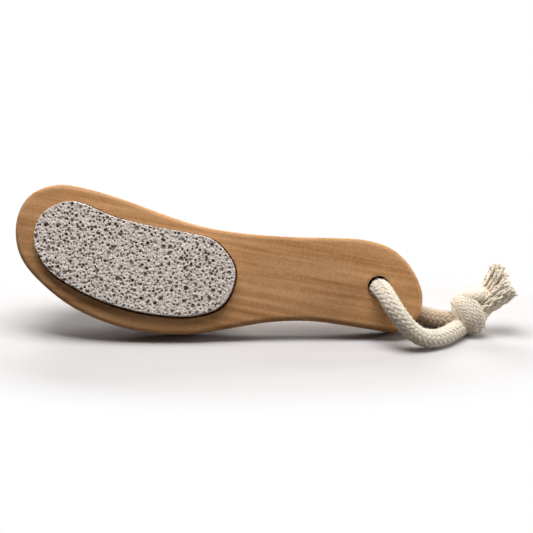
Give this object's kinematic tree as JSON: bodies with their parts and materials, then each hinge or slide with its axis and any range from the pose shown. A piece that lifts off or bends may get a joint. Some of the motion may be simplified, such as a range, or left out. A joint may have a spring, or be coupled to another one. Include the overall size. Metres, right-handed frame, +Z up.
{
  "type": "pumice foot brush",
  "caption": "Foot care brush: a wooden paddle with a pumice stone on its front, bristle tufts on its back and a knotted rope loop for hanging.",
  "frame": {"origin": "on the ground under the middle of the brush, measured without its rope", "axes": "+X along the paddle from the head to the rope, -Y to the side of the stone, +Z up"},
  "size_m": [0.2223, 0.0693, 0.0672],
  "materials": {
    "lacquered_wood": "satin",
    "pumice": "matte",
    "adhesive": "matte",
    "natural_bristle": "matte",
    "cotton_rope": "matte"
  },
  "bodies": {
    "brush": {"wooden_body": "lacquered_wood", "pumice_stone": "pumice", "stone_adhesive": "adhesive", "bristle_tuft_01": "natural_bristle", "bristle_tuft_02": "natural_bristle", "bristle_tuft_03": "natural_bristle", "bristle_tuft_04": "natural_bristle", "bristle_tuft_05": "natural_bristle", "bristle_tuft_06": "natural_bristle", "bristle_tuft_07": "natural_bristle", "bristle_tuft_08": "natural_bristle", "bristle_tuft_09": "natural_bristle", "bristle_tuft_10": "natural_bristle", "bristle_tuft_11": "natural_bristle", "bristle_tuft_12": "natural_bristle", "bristle_tuft_13": "natural_bristle", "bristle_tuft_14": "natural_bristle", "bristle_tuft_15": "natural_bristle", "bristle_tuft_16": "natural_bristle", "bristle_tuft_17": "natural_bristle", "bristle_tuft_18": "natural_bristle", "bristle_tuft_19": "natural_bristle", "bristle_tuft_20": "natural_bristle", "bristle_tuft_21": "natural_bristle", "bristle_tuft_22": "natural_bristle", "bristle_tuft_23": "natural_bristle", "bristle_tuft_24": "natural_bristle", "bristle_tuft_25": "natural_bristle", "bristle_tuft_26": "natural_bristle", "bristle_tuft_27": "natural_bristle", "bristle_tuft_28": "natural_bristle", "bristle_tuft_29": "natural_bristle", "bristle_tuft_30": "natural_bristle", "bristle_tuft_31": "natural_bristle", "bristle_tuft_32": "natural_bristle", "bristle_tuft_33": "natural_bristle", "bristle_tuft_34": "natural_bristle", "bristle_tuft_35": "natural_bristle", "bristle_tuft_36": "natural_bristle", "bristle_tuft_37": "natural_bristle", "bristle_tuft_38": "natural_bristle", "bristle_tuft_39": "natural_bristle", "bristle_tuft_40": "natural_bristle", "bristle_tuft_41": "natural_bristle", "bristle_tuft_42": "natural_bristle", "bristle_tuft_43": "natural_bristle", "bristle_tuft_44": "natural_bristle"},
    "hanging_loop": {"rope_loop": "cotton_rope", "rope_knot": "cotton_rope", "rope_tail_upper": "cotton_rope", "rope_tail_lower": "cotton_rope"}
  },
  "joints": [
    {"name": "loop_swing", "type": "hinge", "parent": "brush", "child": "hanging_loop", "pos_m": [0.0707, -0.01173, 0.02091], "axis": [0, -0.9407, 0.3391], "range_deg": [-90, 120]}
  ]
}
